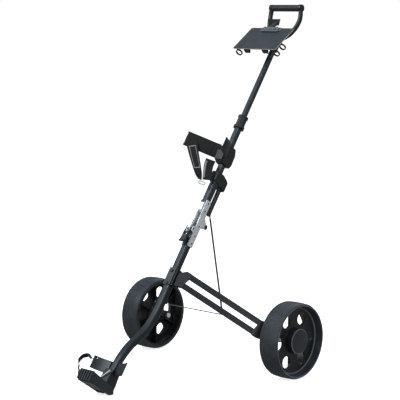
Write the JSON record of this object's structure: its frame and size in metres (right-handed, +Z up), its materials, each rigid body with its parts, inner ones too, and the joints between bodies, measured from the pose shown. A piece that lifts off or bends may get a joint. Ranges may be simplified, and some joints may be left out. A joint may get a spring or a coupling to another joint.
{
  "type": "golf pull trolley",
  "caption": "Two-wheel folding golf pull trolley with a leaning square tube, splayed legs, bag cradles, straps, scorecard plate and loop handle.",
  "frame": {"origin": "centre of the bounding box on the ground, under the trolley", "axes": "+X to the trolley's right-hand wheel, -Y to the side where the bag stands, +Z up"},
  "size_m": [0.7, 0.9972, 1.2047],
  "materials": {
    "tube_paint": "dark blue-grey satin powder coat on square tube",
    "black_plastic": "black moulded nylon, fine satin grain",
    "grey_plastic": "dark grey moulded plastic, satin",
    "painted_steel": "dark grey painted steel, satin",
    "bright_steel": "bright zinc-plated steel, lightly brushed",
    "rubber": "dark grey rubber, matt, with fine ribs",
    "black_fabric": "black woven polyester and webbing, matt"
  },
  "bodies": {
    "lower_frame": {"lower_tube": "tube_paint", "leg_clamp": "painted_steel", "clamp_bolt_upper": "bright_steel", "clamp_bolt_lower": "bright_steel", "leg_bracket_left": "black_plastic", "leg_bracket_right": "black_plastic", "hinge_plate_lower_left": "bright_steel", "hinge_plate_lower_right": "bright_steel", "hinge_pin": "bright_steel", "hinge_sleeve": "black_plastic", "foot_hub": "black_plastic", "foot_tray": "grey_plastic", "foot_tray_pad": "rubber", "foot_wing_left": "grey_plastic", "foot_wing_right": "grey_plastic", "foot_pin": "bright_steel", "foot_strap": "black_fabric", "foot_strap_hook": "black_plastic"},
    "latch_lever": {"latch_lever": "painted_steel"},
    "latch_link": {"latch_link": "bright_steel"},
    "upper_frame": {"upper_tube": "tube_paint", "extension_tube": "tube_paint", "saddle": "black_plastic", "rear_tube": "tube_paint", "rear_tube_plug": "black_plastic", "hinge_plate_upper_left": "bright_steel", "hinge_plate_upper_right": "bright_steel", "latch_catch": "bright_steel", "shaft_collar": "black_plastic", "bag_bracket_hub": "black_plastic", "bag_wing_left": "black_fabric", "bag_wing_right": "black_fabric", "bag_strap": "black_fabric", "bag_strap_return": "black_fabric", "strap_buckle": "bright_steel"},
    "handle": {"handle_shaft": "tube_paint", "handle_frame": "black_plastic", "grip_sleeve": "rubber", "plate_bracket": "black_plastic", "scorecard_plate": "painted_steel", "tee_rack": "black_plastic"},
    "card_clip": {"clip_jaw": "grey_plastic"},
    "leg_lower_left": {"leg_bar_lower_left": "tube_paint"},
    "leg_upper_left": {"leg_bar_upper_left": "tube_paint"},
    "carrier_left": {"wheel_carrier_left": "black_plastic", "axle_left": "bright_steel"},
    "wheel_left": {"tyre_left": "rubber", "rim_left": "grey_plastic", "hub_cap_left": "grey_plastic"},
    "strut_left": {"strut_left": "painted_steel"},
    "wire_left": {"brace_wire_left": "bright_steel"},
    "leg_lower_right": {"leg_bar_lower_right": "tube_paint"},
    "leg_upper_right": {"leg_bar_upper_right": "tube_paint"},
    "carrier_right": {"wheel_carrier_right": "black_plastic", "axle_right": "bright_steel"},
    "wheel_right": {"tyre_right": "rubber", "rim_right": "grey_plastic", "hub_cap_right": "grey_plastic"},
    "strut_right": {"strut_right": "painted_steel"},
    "wire_right": {"brace_wire_right": "bright_steel"}
  },
  "joints": [
    {"name": "frame_fold", "type": "hinge", "parent": "lower_frame", "child": "upper_frame", "pos_m": [0, 0.04965, 0.47361], "axis": [-1, 0, 0], "range_deg": [0, 170]},
    {"name": "shaft_telescope", "type": "slide", "parent": "upper_frame", "child": "handle", "axis": [0, 0.575, 0.8181], "range_m": [-0.13, 0.03]},
    {"name": "clip_open", "type": "hinge", "parent": "handle", "child": "card_clip", "pos_m": [0, 0.40221, 1.12444], "axis": [-1, 0, 0], "range_deg": [0, 17], "stiffness_Nm_per_rad": 0.05, "springref_deg": -17.19},
    {"name": "latch_open", "type": "hinge", "parent": "lower_frame", "child": "latch_lever", "pos_m": [0, -0.01007, 0.47646], "axis": [-1, 0, 0], "range_deg": [0, 110]},
    {"name": "latch_link_swing", "type": "hinge", "parent": "latch_lever", "child": "latch_link", "pos_m": [0, -0.01991, 0.47116], "axis": [-1, 0, 0], "range_deg": [-126, 0]},
    {"name": "leg_fold_left", "type": "hinge", "parent": "lower_frame", "child": "leg_lower_left", "pos_m": [-0.03, -0.0874, 0.30469], "axis": [-0.7071, -0.5785, 0.4066], "range_deg": [0, 57.1]},
    {"name": "leg_link_fold_left", "type": "hinge", "parent": "lower_frame", "child": "leg_upper_left", "pos_m": [-0.03778, -0.06033, 0.32967], "axis": [-0.7071, -0.5785, 0.4066], "range_deg": [0, 57.1]},
    {"name": "carrier_pivot_left", "type": "hinge", "parent": "leg_lower_left", "child": "carrier_left", "pos_m": [-0.23085, 0.0496, 0.15031], "axis": [-0.7071, -0.5785, 0.4066], "range_deg": [-57.1, 0]},
    {"name": "strut_pivot_left", "type": "hinge", "parent": "leg_lower_left", "child": "strut_left", "pos_m": [-0.13649, -0.00481, 0.21389], "axis": [0.6722, 0.5848, -0.454], "range_deg": [0, 39.2]},
    {"name": "wire_droop_left", "type": "hinge", "parent": "leg_lower_left", "child": "wire_left", "pos_m": [-0.13295, -0.00192, 0.21186], "axis": [0.7071, 0.5785, -0.4066], "range_deg": [0, 167.1]},
    {"name": "wheel_spin_left", "type": "hinge", "parent": "carrier_left", "child": "wheel_left", "pos_m": [-0.3122, 0.13732, 0.125], "axis": [1, 0, 0], "continuous": true},
    {"name": "leg_fold_right", "type": "hinge", "parent": "lower_frame", "child": "leg_lower_right", "pos_m": [0.03, -0.0874, 0.30469], "axis": [-0.7071, 0.5785, -0.4066], "range_deg": [0, 57.1]},
    {"name": "leg_link_fold_right", "type": "hinge", "parent": "lower_frame", "child": "leg_upper_right", "pos_m": [0.03778, -0.06033, 0.32967], "axis": [-0.7071, 0.5785, -0.4066], "range_deg": [0, 57.1]},
    {"name": "carrier_pivot_right", "type": "hinge", "parent": "leg_lower_right", "child": "carrier_right", "pos_m": [0.23085, 0.0496, 0.15031], "axis": [-0.7071, 0.5785, -0.4066], "range_deg": [-57.1, 0]},
    {"name": "strut_pivot_right", "type": "hinge", "parent": "leg_lower_right", "child": "strut_right", "pos_m": [0.13649, -0.00481, 0.21389], "axis": [0.6722, -0.5848, 0.454], "range_deg": [0, 39.2]},
    {"name": "wire_droop_right", "type": "hinge", "parent": "leg_lower_right", "child": "wire_right", "pos_m": [0.13295, -0.00192, 0.21186], "axis": [0.7071, -0.5785, 0.4066], "range_deg": [0, 167.1]},
    {"name": "wheel_spin_right", "type": "hinge", "parent": "carrier_right", "child": "wheel_right", "pos_m": [0.3122, 0.13732, 0.125], "axis": [1, 0, 0], "continuous": true}
  ],
  "couplings": [
    {"joint": "latch_link_swing", "follows": "latch_open", "ratio": -1.14},
    {"joint": "leg_fold_left", "follows": "frame_fold", "ratio": 0.33282},
    {"joint": "leg_link_fold_left", "follows": "frame_fold", "ratio": 0.33282},
    {"joint": "carrier_pivot_left", "follows": "frame_fold", "ratio": -0.33282},
    {"joint": "strut_pivot_left", "follows": "frame_fold", "ratio": 0.22787},
    {"joint": "wire_droop_left", "follows": "frame_fold", "ratio": 0.97988},
    {"joint": "leg_fold_right", "follows": "frame_fold", "ratio": 0.33282},
    {"joint": "leg_link_fold_right", "follows": "frame_fold", "ratio": 0.33282},
    {"joint": "carrier_pivot_right", "follows": "frame_fold", "ratio": -0.33282},
    {"joint": "strut_pivot_right", "follows": "frame_fold", "ratio": 0.22787},
    {"joint": "wire_droop_right", "follows": "frame_fold", "ratio": 0.97988}
  ]
}
